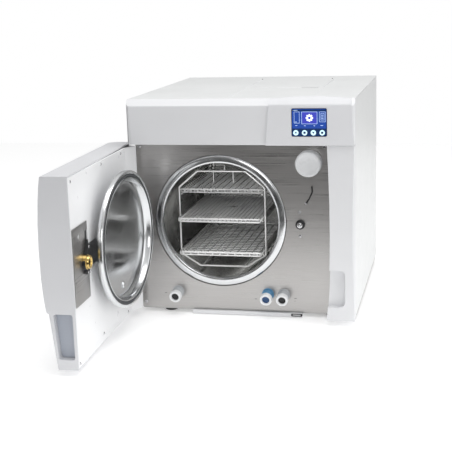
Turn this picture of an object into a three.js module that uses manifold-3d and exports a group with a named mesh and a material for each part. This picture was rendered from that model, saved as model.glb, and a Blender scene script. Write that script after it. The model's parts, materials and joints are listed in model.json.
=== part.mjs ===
// Benchtop steam steriliser (autoclave), front-opening, standing on four feet.
// Units are millimetres, +Z is up and the front faces -Y. Everything below is laid out
// around the chamber: x = 0 and z = 0 on its axis, y = 0 on the face of the front plate.
// The last lines move the whole model so that its origin is on the surface it stands on.
import * as THREE from 'three';
import { mergeVertices } from 'three/addons/utils/BufferGeometryUtils.js';
import Module from 'manifold-3d';

const wasm = await Module();
wasm.setup();

// ---------------------------------------------------------------- driving dimensions

const GAP = 0.3;            // air left between touching pieces
const ROUND = 40;           // sides of a large cylinder
const SMALL_ROUND = 16;     // sides of a small cylinder

const ORIGIN = { x: -19.4, y: -36.5, z: 206 };   // chamber axis and plate face in the model frame

const HOUSING = {
  left: -181.5, right: 291.5, top: 264.6, bottom: -198, rear: 484,
  front: -58, sheet: 2, skin: 3, skirt: -187,
};
const PAN_FLANGE = 14;      // height of the base pan's edge above the bottom of the side panels
const FEET = { radius: 16, height: 8 - GAP, x: [-122, 236], y: [26, 440] };

const PLATE = { left: -180.5, right: 288, bottom: -195.4, top: 171.4, thickness: 1.5 };
const CHAMBER = { radius: 125, wall: 2.5, depth: 355, flangeRadius: 142.5, flangeBack: 8, lip: 1.2 };
const JACKET = { inner: 131.5, outer: 150, from: 30, to: 352 };
const HEATER = { outer: 131.2, from: 64, to: 310 };

const HOOD = { bottom: 171.8, chamferZ: 250, chamferY: -40, back: -38 };
const MODULE = {
  left: 113, topLeft: 121, right: 291, topRight: 284.5, bottom: 171.4,
  shoulder: 253, top: 268, faceY: -62.5, shoulderY: -61, crownY: -47, back: -20,
};
const SCREEN = { left: 166.5, right: 237, bottom: 190, top: 246, thickness: 1.2, pocket: 1.6 };
const COLUMN = { left: 236, bottom: -193.6, top: 171.4, bow: 4 };
const COLUMN_GRIP = { right: 272, bottom: -165, top: -85, depth: 14 };

const TANK_LID = { left: 26, right: 198, front: 184, rear: 398 };
const LID_NOTCH = { left: 150, right: 188, depth: 7 };
const TANK = { front: 20, rear: 440, bottom: 157, top: 256, wall: 2.5 };
const CLEAN_TANK = { left: -172, right: 106 };
const USED_TANK = { left: 112, right: 206 };

const DUST_FILTER = {
  left: -66, right: 174, front: -9, rear: 250, bottom: -203.5, top: -198.3, lipTop: -195.8,
  bar: 12, frontBar: 29, meshUnder: 4, meshThickness: 1.2,
};

const HINGE = {
  x: -162.5, y: -14.6, pinRadius: 5, knuckle: 10.5, half: 46, inner: 20, leaf: 3.2, openDegrees: 88.3,
};
// The door is drawn shut, about a point this far from the hinge pin: u runs towards its free edge
// and v towards the chamber.
const DATUM = { u: 5.5, v: 5.3 };
const DOOR = {
  freeEdge: 390, hingeEdge: -38, top: 167.3, bottom: -193.5, inner: -33, wall: 3,
  bevelStart: 30, bevelEnd: 1, bevelV: -17, strip: 3, sideEnd: -39, dipU: -10, dipV: -30,
};
// Front profile of the door, from its top edge down: height and distance in front of the hinge.
const DOOR_PROFILE = [
  [167.3, 85], [124, 90.5], [80, 93.6], [33, 95], [-20, 94], [-61, 91.6], [-84, 88.5],
  [-87, 83.8], [-127, 79.6], [-193.5, 72.6],
];
const DOOR_GRIP = { depth: 16, bottom: -174, top: -88, front: -70, back: -43, wall: 3 };

const LID = {
  radius: 137.5, rim: 7.3, back: -10.7, backRadius: 122, shoulderV: -1.7, sheet: 3,
  grooveOuter: 130.5, grooveInner: 124.5, grooveFloor: 0.6, panMouth: 121.5, panFoot: 119,
  panFootV: -3.6, panFloorRadius: 112, tiltDegrees: 5.9,
};
const SEAL = { proud: 0.5 };
const YOKE = {
  half: 22, front: -26.3, rear: -46, neck: [-13.5, 14], beamStart: 4, blockStart: 297, blockEnd: 316,
  blockRear: -37, blockFront: -8, blockBottom: -27, blockTop: 52, hubRadius: 30, padFront: -25,
};
// Outline of the pad that reaches from the yoke's end round the nut, over the lock plate: u and height.
const PAD = [[310, -27], [336, -27], [345, -15], [345, 8], [332, 22], [316, 44], [310, 52]];
const PIVOT = [[0, -26], [16, -26], [16, -17], [6, -12.2], [3, -11.2], [0, -11.2]];   // radius and v
const LOCK_PLATE = { left: 303, right: 386, bottom: -76, top: 70, front: -31.2 };
const LOCK_HOLE = { u: 352, z: 50, radius: 5 };
const LOCK = { x: 172, z: -4 };
const NUT = { radius: 12.5, bore: 6.6, front: -18.5, back: -30.9 };
const SPINDLE = { radius: 6, front: -12, rear: 56, socket: 2.6, socketDepth: 9, nose: 4.5 };
const BUSH = { outer: 10, front: -6 };
const CARRIAGE = { outer: 15, from: 44, to: 54 };
const LOCK_MOTOR = { radius: 17, from: 62, to: 150 };

const FILTER = { x: 193, z: 128, radius: 26.5, front: -28, back: -6, socket: 22, stem: 13, stemEnd: 34 };
const PORT = { z: -158, x: [-98.4, 100, 134.7], tiltDegrees: 9, radius: 11.4, front: -17, collar: 12.8,
  bore: 8, collarFront: -31.4, sleeve: 9.3, sleeveBack: -10, boreBack: -6, travel: 2, flange: 13 };

const RACK = {
  half: 95.5, wire: 4.2, shoulder: 70, footShoulder: 79.4, top: 106, topHalf: 54, front: 20, rear: 330,
  hoop: 4, rail: 3, railInner: 84, crossBar: 6,
};
const TRAY = { half: 89.8, height: 10, wall: 1.6, length: 290 };
const TRAY_LEVEL = { top: 67, middle: 9, bottom: -64 };
const TRAY_FRONT = { top: 16, middle: -14, bottom: -14 };

const GENERATOR = { x: 236, y: 92, radius: 34, bottom: -150, top: 10, flange: 40, flangeHeight: 8 };
const PUMP = { x: [190, 272], y: [160, 300], z: [-150, -70], headRadius: 30, headInset: 38, headHeight: 40 };
const WATER_PUMP = { x: 226, z: -130, radius: 22, from: 330, to: 410 };
const SPOUT = { radius: 5, from: 338, to: 348, z: -106 };
const VALVE_BLOCK = {
  x: [192, 262], y: [160, 300], z: [40, 66], coilRadius: 13, coilHeight: 40, coilY: [186, 230, 274],
};
const SAFETY_VALVE = {
  x: 60, z: 66, radius: 12, inlet: 7.2, cap: 6, neck: 10, seat: 12, body: 27.6, top: 33.6,
};
const BOARD = { x: 282, y: [150, 400], z: [-20, 150], thickness: 2 };
// Components on the board: how far each stands off it, then its place in y and z.
const BOARD_PARTS = [[22, [310, 350], [0, 40]], [10, [312, 345], [70, 120]], [14, [360, 392], [60, 110]]];
const CONDENSER = { x: [-140, 100], y: [392, 424], z: [-120, 46], fins: 8, fin: 2, spineInset: 10 };
const FAN = {
  x: -20, z: -20, radius: 70, ring: 76, half: 80, from: 440, to: 474, hub: 22, hubFrom: 446, hubTo: 471,
  strut: { half: 5, thickness: 3 }, blades: 7,
  blade: { y: 459, halfThickness: 1.2, halfWidth: 15, twist: 0.7 },
};
const FAN_SLOTS = { count: 9, width: 8, pitch: 14 };
const INLET = {
  x: 216, z: -130, width: 52, height: 34, proud: 1.6, rim: 4, depth: 24,
  mouth: { halfWidth: 14, halfHeight: 8, depth: 18 },
  pin: { offsets: [-8, 0, 8], halfWidth: 1.2, halfHeight: 3, rear: 19, front: 3 },
};
const SWITCH = {
  x: 216, z: -86, width: 28, height: 22, depth: 12, high: 1.4, low: -1, dip: -0.6, taper: 3, side: 2,
};

const COLOURS = {
  heater: [0x6b3a2c, 0.8, 0],
  white: [0xf1f2f2, 0.42, 0], grey: [0xc9cccf, 0.45, 0], steel: [0xa9a6a1, 0.32, 0.9],
  polished: [0xb9bcbd, 0.12, 1], black: [0x17181a, 0.6, 0], castBlack: [0x1b1c1f, 0.5, 0.2],
  rubber: [0x3a3d40, 0.8, 0], brass: [0xc79a4b, 0.28, 1], bronze: [0xb06a3c, 0.35, 1],
  blue: [0x3d7fae, 0.4, 0], glass: [0x1b2a6b, 0.1, 0], board: [0x1d5a34, 0.6, 0],
  foam: [0x8e8f8a, 0.95, 0], tank: [0xdfe8ee, 0.35, 0], motor: [0x3b3f44, 0.5, 0.6],
};

// ---------------------------------------------------------------- helpers

const autoclave = new THREE.Group();

function outward(geometry) {
  // Turns the faces round if the closed surface points inwards.
  const p = geometry.getAttribute('position');
  const index = geometry.getIndex();
  const [a, b, c] = [new THREE.Vector3(), new THREE.Vector3(), new THREE.Vector3()];
  let volume = 0;
  for (let i = 0; i < index.count; i += 3) {
    a.fromBufferAttribute(p, index.getX(i));
    b.fromBufferAttribute(p, index.getX(i + 1));
    c.fromBufferAttribute(p, index.getX(i + 2));
    volume += a.dot(b.cross(c));
  }
  if (volume < 0) {
    for (let i = 0; i < index.count; i += 3) {
      const second = index.getX(i + 1);
      index.setX(i + 1, index.getX(i + 2));
      index.setX(i + 2, second);
    }
  }
  return geometry;
}

function toSolid(geometry) {
  const bare = geometry.clone();
  bare.deleteAttribute('normal');
  bare.deleteAttribute('uv');
  const merged = outward(mergeVertices(bare, 1e-4));
  const vertProperties = new Float32Array(merged.getAttribute('position').array);
  const triVerts = new Uint32Array(merged.getIndex().array);
  return new wasm.Manifold(new wasm.Mesh({ numProp: 3, vertProperties, triVerts }));
}

function toGeometry(solid) {
  const mesh = solid.getMesh();
  const geometry = new THREE.BufferGeometry();
  geometry.setAttribute('position', new THREE.BufferAttribute(new Float32Array(mesh.vertProperties), 3));
  geometry.setIndex(new THREE.BufferAttribute(new Uint32Array(mesh.triVerts), 1));
  geometry.computeVertexNormals();
  return geometry;
}

const join = (...parts) => toGeometry(parts.map(toSolid).reduce((sum, part) => sum.add(part)));
const cut = (base, ...tools) =>
  toGeometry(tools.map(toSolid).reduce((left, tool) => left.subtract(tool), toSolid(base)));
const overlap = (a, b) => toGeometry(toSolid(a).intersect(toSolid(b)));

function block(x, y, z) {
  const geometry = new THREE.BoxGeometry(x[1] - x[0], y[1] - y[0], z[1] - z[0]);
  return geometry.translate((x[0] + x[1]) / 2, (y[0] + y[1]) / 2, (z[0] + z[1]) / 2);
}

function outline(points, holes = []) {
  const shape = new THREE.Shape(points.map(([x, y]) => new THREE.Vector2(x, y)));
  shape.holes = holes.map((hole) => new THREE.Path(hole.map(([x, y]) => new THREE.Vector2(x, y))));
  return shape;
}

const rectangle = (x0, x1, y0, y1) => [[x0, y0], [x1, y0], [x1, y1], [x0, y1]];

function ring(x, y, radius, sides = ROUND) {
  return Array.from({ length: sides }, (_, i) => {
    const angle = (2 * Math.PI * i) / sides;
    return [x + radius * Math.cos(angle), y + radius * Math.sin(angle)];
  });
}

const extrude = (shape, depth) => new THREE.ExtrudeGeometry(shape, { depth, bevelEnabled: false });

// An (x, z) outline drawn out along Y, a (y, z) outline along X, and an (x, y) outline along Z.
const alongY = (shape, from, to) => extrude(shape, to - from).rotateX(Math.PI / 2).translate(0, to, 0);
const alongZ = (shape, from, to) => extrude(shape, to - from).translate(0, 0, from);
function alongX(shape, from, to) {
  const turn = new THREE.Matrix4().set(0, 0, 1, from, 1, 0, 0, 0, 0, 1, 0, 0, 0, 0, 0, 1);
  return extrude(shape, to - from).applyMatrix4(turn);
}

// A turned piece about a line along Y through (x, z). The profile is [radius, y] points.
function turned(profile, x = 0, z = 0, sides = ROUND) {
  const points = profile.map(([radius, y]) => new THREE.Vector2(radius, y));
  return new THREE.LatheGeometry(points, sides).translate(x, 0, z);
}

const disc = (x, z, radius, from, to, sides = SMALL_ROUND) =>
  turned([[0, from], [radius, from], [radius, to], [0, to]], x, z, sides);
const tube = (x, z, inner, outer, from, to, sides = SMALL_ROUND) =>
  turned([[inner, from], [outer, from], [outer, to], [inner, to], [inner, from]], x, z, sides);
const post = (x, y, radius, from, to, sides = SMALL_ROUND) =>
  new THREE.CylinderGeometry(radius, radius, to - from, sides)
    .rotateX(Math.PI / 2)
    .translate(x, y, (from + to) / 2);

function add(name, geometry, colour, parent = autoclave) {
  const [color, roughness, metalness] = COLOURS[colour];
  const mesh = new THREE.Mesh(geometry, new THREE.MeshStandardMaterial({ color, roughness, metalness }));
  mesh.name = name;
  parent.add(mesh);
  return mesh;
}

// ---------------------------------------------------------------- housing shell

// Upright air slots in the rear panel, cut off along the fan's circle.
function fanSlots() {
  return Array.from({ length: FAN_SLOTS.count }, (_, i) => {
    const x = FAN_SLOTS.pitch * (i - (FAN_SLOTS.count - 1) / 2);
    const half = Math.sqrt((FAN.radius - 2) ** 2 - (Math.abs(x) + FAN_SLOTS.width / 2) ** 2);
    const [left, right] = [FAN.x + x - FAN_SLOTS.width / 2, FAN.x + x + FAN_SLOTS.width / 2];
    return rectangle(left, right, FAN.z - half, FAN.z + half);
  });
}

function buildHousing() {
  const H = HOUSING;
  const inset = H.sheet + GAP;
  const panX = [H.left + inset, H.right - inset];
  const panY = [PLATE.thickness + GAP, H.rear - inset];
  const panSolid = block(panX, panY, [H.bottom, H.skirt + PAN_FLANGE]);
  const panHollow = block([panX[0] + H.sheet, panX[1] - H.sheet], [panY[0] + H.sheet, panY[1] - H.sheet],
    [H.bottom + H.sheet, H.top]);
  add('base_pan', cut(panSolid, panHollow), 'steel');

  const panelRear = H.rear - H.sheet - GAP;
  const panelTop = H.top - H.skin - GAP;
  const backFront = HOOD.back + GAP;
  const leftSide = outline([
    [PLATE.thickness + GAP, H.skirt], [panelRear, H.skirt], [panelRear, panelTop], [backFront, panelTop],
    [backFront, HOOD.bottom], [PLATE.thickness + GAP, HOOD.bottom],
  ]);
  const rightSide = outline(rectangle(backFront, panelRear, H.skirt, panelTop));
  add('side_panel_left', alongX(leftSide, H.left, H.left + H.sheet), 'white');
  add('side_panel_right', alongX(rightSide, H.right - H.sheet, H.right), 'white');

  const rear = outline(rectangle(H.left, H.right, H.skirt, H.top), [
    ...fanSlots(),
    rectangle(INLET.x - INLET.width / 2 + INLET.rim, INLET.x + INLET.width / 2 - INLET.rim,
      INLET.z - INLET.height / 2 + INLET.rim, INLET.z + INLET.height / 2 - INLET.rim),
    rectangle(SWITCH.x - SWITCH.width / 2 - GAP, SWITCH.x + SWITCH.width / 2 + GAP,
      SWITCH.z - SWITCH.height / 2 - GAP, SWITCH.z + SWITCH.height / 2 + GAP),
  ]);
  add('rear_panel', alongY(rear, H.rear - H.sheet, H.rear), 'white');

  const opening = rectangle(TANK_LID.left - GAP, TANK_LID.right + GAP,
    TANK_LID.front - GAP, TANK_LID.rear + GAP);
  const cover = outline(rectangle(H.left, H.right, backFront, H.rear - H.sheet - GAP), [opening]);
  add('top_cover', alongZ(cover, H.top - H.skin, H.top), 'white');

  const notch = block([LID_NOTCH.left, LID_NOTCH.right],
    [TANK_LID.front - 1, TANK_LID.front + LID_NOTCH.depth], [H.top - H.skin - 1, H.top + 1]);
  const lid = block([TANK_LID.left, TANK_LID.right], [TANK_LID.front, TANK_LID.rear],
    [H.top - H.skin, H.top]);
  add('tank_lid', cut(lid, notch), 'white');

  for (const [side, x] of [['left', FEET.x[0]], ['right', FEET.x[1]]]) {
    for (const [end, y] of [['front', FEET.y[0]], ['rear', FEET.y[1]]]) {
      const foot = post(x, y, FEET.radius, H.bottom - GAP - FEET.height, H.bottom - GAP);
      add(`foot_${end}_${side}`, foot, 'black');
    }
  }

  const D = DUST_FILTER;
  const frame = outline(rectangle(D.left, D.right, D.front, D.rear),
    [rectangle(D.left + D.bar, D.right - D.bar, D.front + D.frontBar, D.rear - D.bar)]);
  const lip = block([D.left, D.right], [D.front, -GAP * 4], [D.bottom, D.lipTop]);
  const under = D.bar - D.meshUnder;
  const mesh = block([D.left + under, D.right - under], [D.front + D.frontBar - D.meshUnder, D.rear - under],
    [D.bottom + 1, D.bottom + 1 + D.meshThickness]);
  add('dust_filter', join(alongZ(frame, D.bottom, D.top), lip, mesh), 'grey');
}

// ---------------------------------------------------------------- hood, display and right column

function buildFront() {
  const H = HOUSING;
  const hoodProfile = outline([
    [HOOD.back, HOOD.bottom + H.skin], [HOOD.back, H.top], [HOOD.chamferY, H.top],
    [H.front, HOOD.chamferZ], [H.front, HOOD.bottom], [-GAP, HOOD.bottom], [-GAP, HOOD.bottom + H.skin],
  ]);
  const inner = outline([
    [HOOD.back - 1, HOOD.bottom + H.skin], [HOOD.back - 1, H.top - H.skin],
    [HOOD.chamferY - 1, H.top - H.skin], [H.front + H.skin, HOOD.chamferZ - 1],
    [H.front + H.skin, HOOD.bottom + H.skin],
  ]);
  const cavity = alongX(inner, H.left + H.skin, H.right - H.skin);
  const mouth = block([H.left + H.skin, H.right - H.skin], [HOOD.back - 2, HOOD.back + 1],
    [HOOD.bottom + H.skin, H.top - H.skin]);
  const leftRelief = block([H.left - 1, H.left + H.sheet + GAP], [HOOD.back, 1], [0, H.top + 1]);
  const rightRelief = block([H.right - H.sheet - GAP, H.right + 1], [HOOD.back, 1], [0, H.top + 1]);
  const solidHood = alongX(hoodProfile, H.left, H.right);
  add('hood', cut(solidHood, cavity, mouth, leftRelief, rightRelief), 'grey');

  const M = MODULE;
  const side = outline([
    [M.faceY, M.bottom], [M.shoulderY, M.shoulder], [M.crownY, M.top], [M.back, M.top - 1],
    [M.back, H.top + GAP], [HOOD.chamferY - 0.1, H.top + GAP],
    [H.front - GAP, HOOD.chamferZ + 0.1], [H.front - GAP, M.bottom],
  ]);
  const face = outline([[M.left, M.bottom - 1], [M.right, M.bottom - 1], [M.topRight, M.top + 1],
    [M.topLeft, M.top + 1]]);
  const body = overlap(alongX(side, M.left, M.right), alongY(face, M.faceY - 1, M.back + 1));
  // The pocket and the screen follow the lean of the module's face.
  const lean = (M.shoulderY - M.faceY) / (M.shoulder - M.bottom);
  const faceAt = (z) => M.faceY + lean * (z - M.bottom);
  const slab = (b, t, front, back) => outline([
    [faceAt(b) + front, b], [faceAt(t) + front, t], [faceAt(t) + back, t], [faceAt(b) + back, b],
  ]);
  const S = SCREEN;
  const pocket = alongX(slab(S.bottom - GAP, S.top + GAP, -1, S.pocket), S.left - GAP, S.right + GAP);
  add('display_module', cut(body, pocket), 'grey');
  const glass = alongX(slab(S.bottom, S.top, S.pocket - GAP - S.thickness, S.pocket - GAP), S.left, S.right);
  add('display_screen', glass, 'glass');

  const C = COLUMN;
  const G = COLUMN_GRIP;
  const middle = (C.top + C.bottom) / 2;
  const bowed = outline([
    [-GAP, C.bottom], [-GAP, C.top], [H.front, C.top], [H.front - C.bow, middle], [H.front, C.bottom],
  ]);
  const shell = alongX(bowed, C.left, H.right);
  const hollow = block([C.left + H.skin, H.right - H.skin], [H.front + H.skin, 1],
    [C.bottom + H.skin, C.top - H.skin]);
  const gripWall = block([C.left, G.right + H.skin], [H.front, H.front + G.depth + H.skin],
    [G.bottom - H.skin, G.top + H.skin]);
  const grip = block([C.left - 1, G.right], [H.front - C.bow - 1, H.front + G.depth], [G.bottom, G.top]);
  const panelRelief = block([H.right - H.skin, H.right + 1], [HOOD.back, 1], [C.bottom - 1, C.top + 1]);
  add('right_column', cut(join(cut(shell, hollow), gripWall), grip, panelRelief), 'grey');
}

// ---------------------------------------------------------------- front plate and what it carries

function buildPlate() {
  const P = PLATE;
  const holes = [
    ring(0, 0, CHAMBER.flangeRadius + 0.5, ROUND),
    ring(LOCK.x, LOCK.z, BUSH.outer - 2, SMALL_ROUND),
    ring(FILTER.x, FILTER.z, FILTER.stem + 0.5, SMALL_ROUND),
    ...PORT.x.map((x) => ring(x, PORT.z, PORT.bore, SMALL_ROUND)),
  ];
  const plate = outline(rectangle(P.left, P.right, P.bottom, P.top), holes);
  add('front_plate', alongY(plate, 0, P.thickness), 'steel');

  add('lock_bush', turned([
    [SPINDLE.radius + GAP, BUSH.front], [BUSH.outer, BUSH.front], [BUSH.outer, -GAP],
    [SPINDLE.radius + GAP, -GAP], [SPINDLE.radius + GAP, BUSH.front],
  ], LOCK.x, LOCK.z, SMALL_ROUND), 'black');

  const T = SPINDLE;
  add('lock_spindle', turned([
    [0, T.front + T.socketDepth], [T.socket, T.front + T.socketDepth], [T.socket, T.front],
    [T.nose, T.front], [T.radius, T.front + 2], [T.radius, T.rear], [0, T.rear],
  ], LOCK.x, LOCK.z, SMALL_ROUND), 'polished');
  const carriage = tube(LOCK.x, LOCK.z, T.radius + GAP, CARRIAGE.outer, CARRIAGE.from, CARRIAGE.to);
  add('lock_carriage', carriage, 'brass');
  add('lock_motor', disc(LOCK.x, LOCK.z, LOCK_MOTOR.radius, LOCK_MOTOR.from, LOCK_MOTOR.to), 'motor');

  const F = FILTER;
  add('filter_socket', turned([
    [0, F.back + 2], [F.socket, F.back + 2], [F.socket, -GAP], [F.stem, -GAP], [F.stem, F.stemEnd],
    [0, F.stemEnd],
  ], F.x, F.z, 32), 'grey');
  add('filter_cap', turned([
    [0, F.front + 1.5], [F.radius - 5, F.front + 1.5], [F.radius - 3, F.front], [F.radius - 1, F.front],
    [F.radius, F.front + 2], [F.radius, -2], [F.socket + 1, -2], [F.socket + 1, F.back], [0, F.back],
  ], F.x, F.z, 36), 'white');

  const names = ['left', 'blue', 'right'];
  PORT.x.forEach((x, i) => {
    const R = PORT;
    const tilt = (geometry) =>
      geometry.rotateX(THREE.MathUtils.degToRad(R.tiltDegrees)).translate(x, 0, R.z);
    const barrel = tilt(turned([
      [0, R.boreBack], [R.sleeve + GAP, R.boreBack], [R.sleeve + GAP, R.front], [R.radius, R.front],
      [R.radius, R.flange / 4], [0, R.flange / 4],
    ], 0, 0, SMALL_ROUND));
    const flange = disc(x, R.z, R.flange, -2, -GAP);
    const behindPlate = block([x - 20, x + 20], [-GAP, 20], [R.z - 20, R.z + 20]);
    add(`port_body_${names[i]}`, cut(join(barrel, flange), behindPlate), i === 1 ? 'blue' : 'grey');
    add(`port_collar_${names[i]}`, tilt(turned([
      [R.bore, R.collarFront], [R.collar - 1.5, R.collarFront], [R.collar, R.collarFront + 2],
      [R.collar, R.front - R.travel - GAP], [R.sleeve, R.front - R.travel - GAP],
      [R.sleeve, R.sleeveBack], [R.bore, R.sleeveBack], [R.bore, R.collarFront],
    ], 0, 0, SMALL_ROUND)), 'white');
  });
}

// ---------------------------------------------------------------- chamber

function buildChamber() {
  const C = CHAMBER;
  const outer = C.radius + C.wall;
  add('chamber_ring', turned([
    [C.radius, -C.lip], [C.flangeRadius - 1.2, -C.lip], [C.flangeRadius, 0],
    [C.flangeRadius, C.flangeBack], [C.radius, C.flangeBack], [C.radius, -C.lip],
  ]), 'polished');
  const start = C.flangeBack + GAP;
  add('chamber_vessel', turned([
    [C.radius, start], [outer, start], [outer, C.depth + 2], [outer - 8, C.depth + C.wall + 4],
    [0, C.depth + C.wall + 4], [0, C.depth + 4], [C.radius - 8, C.depth + 4], [C.radius, C.depth - 2],
    [C.radius, start],
  ]), 'polished');
  add('chamber_insulation', turned([
    [JACKET.inner, JACKET.from], [JACKET.outer, JACKET.from], [JACKET.outer, JACKET.to],
    [JACKET.inner, JACKET.to], [JACKET.inner, JACKET.from],
  ]), 'foam');
  add('heater_band', tube(0, 0, outer + GAP, HEATER.outer, HEATER.from, HEATER.to, ROUND), 'heater');
}

// ---------------------------------------------------------------- rack and trays

function buildLoad() {
  const R = RACK;
  const octagon = (inset) => {
    const bevel = inset * 0.4;
    const right = [[R.topHalf - bevel, -R.top + inset], [R.half - inset, -R.footShoulder + bevel],
      [R.half - inset, R.shoulder - bevel], [R.topHalf - bevel, R.top - inset]];
    return [...right, ...right.map(([x, z]) => [-x, z]).reverse()];
  };
  const hoopShape = outline(octagon(0), [octagon(R.wire)]);
  const hoops = [R.front, R.rear - R.hoop].map((y) => alongY(hoopShape, y, y + R.hoop));
  const rails = [];
  for (const level of Object.values(TRAY_LEVEL)) {
    const top = level - TRAY.height - GAP;
    const reach = R.half - 2;
    const clear = Math.min(reach, Math.sqrt((CHAMBER.radius - 2) ** 2 - (Math.abs(top) + R.rail) ** 2));
    rails.push(block([-clear, -R.railInner], [R.front, R.rear], [top - R.rail, top]));
    rails.push(block([R.railInner, clear], [R.front, R.rear], [top - R.rail, top]));
  }
  const ribs = [-1, 1].map((s) => block(
    s < 0 ? [-R.topHalf + 4, -R.topHalf + 4 + R.crossBar] : [R.topHalf - 4 - R.crossBar, R.topHalf - 4],
    [R.front, R.rear], [R.top - R.wire, R.top]));
  add('rack', join(...hoops, ...rails, ...ribs), 'polished');

  for (const [name, level] of Object.entries(TRAY_LEVEL)) {
    const front = TRAY_FRONT[name];
    const T = TRAY;
    const pan = block([-T.half, T.half], [front, front + T.length], [level - T.height, level]);
    const hollow = block([-T.half + T.wall, T.half - T.wall],
      [front + T.wall, front + T.length - T.wall], [level - T.height + T.wall, level + 1]);
    add(`tray_${name}`, cut(pan, hollow), 'polished');
  }
}

// ---------------------------------------------------------------- works inside the housing

function buildWorks() {
  const tank = (name, x) => {
    const T = TANK;
    const body = block([x.left, x.right], [T.front, T.rear], [T.bottom, T.top]);
    const hollow = block([x.left + T.wall, x.right - T.wall], [T.front + T.wall, T.rear - T.wall],
      [T.bottom + T.wall, T.top + 1]);
    add(name, cut(body, hollow), 'tank');
  };
  tank('clean_water_tank', CLEAN_TANK);
  tank('used_water_tank', USED_TANK);

  const G = GENERATOR;
  add('steam_generator', join(
    post(G.x, G.y, G.radius, G.bottom, G.top, 28),
    post(G.x, G.y, G.flange, G.bottom, G.bottom + G.flangeHeight, 28),
    post(G.x, G.y, G.flange, G.top - G.flangeHeight, G.top, 28),
  ), 'steel');

  const P = PUMP;
  const pumpX = (P.x[0] + P.x[1]) / 2;
  add('vacuum_pump', join(
    block(P.x, P.y, P.z),
    post(pumpX, P.y[0] + P.headInset, P.headRadius, P.z[1] - 1, P.z[1] + P.headHeight),
    post(pumpX, P.y[1] - P.headInset, P.headRadius, P.z[1] - 1, P.z[1] + P.headHeight),
  ), 'motor');

  const W = WATER_PUMP;
  add('water_pump', join(
    disc(W.x, W.z, W.radius, W.from, W.to),
    disc(W.x, SPOUT.z, SPOUT.radius, SPOUT.from, SPOUT.to, 12),
  ), 'motor');

  const V = VALVE_BLOCK;
  const coilX = (V.x[0] + V.x[1]) / 2;
  const coils = V.coilY.map((y) => post(coilX, y, V.coilRadius, V.z[1] - 1, V.z[1] + V.coilHeight));
  add('valve_block', join(block(V.x, V.y, V.z), ...coils), 'brass');

  const seat = CHAMBER.depth + CHAMBER.wall + 4 + GAP;
  const S = SAFETY_VALVE;
  add('safety_valve', turned([
    [0, seat], [S.inlet, seat], [S.inlet, seat + S.neck], [S.radius, seat + S.seat],
    [S.radius, seat + S.body], [S.cap, seat + S.body], [S.cap, seat + S.top], [0, seat + S.top],
  ], S.x, S.z, SMALL_ROUND), 'brass');

  const B = BOARD;
  const face = B.x - B.thickness;
  const components = BOARD_PARTS.map(([height, y, z]) => block([face - height, face + 1], y, z));
  add('control_board', join(block([face, B.x], B.y, B.z), ...components), 'board');

  const C = CONDENSER;
  const spine = block([C.x[0], C.x[1]], [C.y[0] + C.spineInset, C.y[1] - C.spineInset], C.z);
  const fins = Array.from({ length: C.fins }, (_, i) => {
    const z = C.z[0] + ((C.z[1] - C.z[0] - C.fin) * i) / (C.fins - 1);
    return block(C.x, C.y, [z, z + C.fin]);
  });
  add('condenser', join(spine, ...fins), 'steel');

  const F = FAN;
  const square = outline(rectangle(F.x - F.half, F.x + F.half, F.z - F.half, F.z + F.half),
    [ring(F.x, F.z, F.ring, ROUND)]);
  const strut = block([F.x - F.ring - 1, F.x + F.ring + 1], [F.from, F.from + F.strut.thickness],
    [F.z - F.strut.half, F.z + F.strut.half]);
  add('fan_frame', join(alongY(square, F.from, F.to), strut), 'black');
  const blades = Array.from({ length: F.blades }, (_, i) => {
    const B = F.blade;
    const thickness = [-B.halfThickness, B.halfThickness];
    const blade = block([F.hub - 2, F.radius], thickness, [-B.halfWidth, B.halfWidth]);
    return blade.rotateX(B.twist).rotateY((2 * Math.PI * i) / F.blades).translate(F.x, B.y, F.z);
  });
  add('fan_rotor', join(disc(F.x, F.z, F.hub, F.hubFrom, F.hubTo), ...blades), 'black');

  const I = INLET;
  const back = HOUSING.rear;
  const around = (halfX, y, halfZ, dx = 0) =>
    block([I.x + dx - halfX, I.x + dx + halfX], [back + y[0], back + y[1]], [I.z - halfZ, I.z + halfZ]);
  const flange = around(I.width / 2, [GAP, I.proud], I.height / 2);
  const socketBody = around(I.width / 2 - I.rim - GAP, [-I.depth, GAP * 2], I.height / 2 - I.rim - GAP);
  const mouth = around(I.mouth.halfWidth, [-I.mouth.depth, I.depth], I.mouth.halfHeight);
  const pins = I.pin.offsets.map((dx) =>
    around(I.pin.halfWidth, [-I.pin.rear, -I.pin.front], I.pin.halfHeight, dx));
  add('power_inlet', join(cut(join(flange, socketBody), mouth), ...pins), 'black');

  const R = SWITCH;
  const low = R.z - R.height / 2;
  const high = R.z + R.height / 2;
  const rocker = outline([
    [back - R.depth, low + R.taper], [back + R.high, low + 1], [back + R.dip, R.z],
    [back + R.low, high - 1], [back - R.depth, high - R.taper],
  ]);
  add('power_switch', alongX(rocker, R.x - R.width / 2 + R.side, R.x + R.width / 2 - R.side), 'black');
}

// ---------------------------------------------------------------- door

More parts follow.
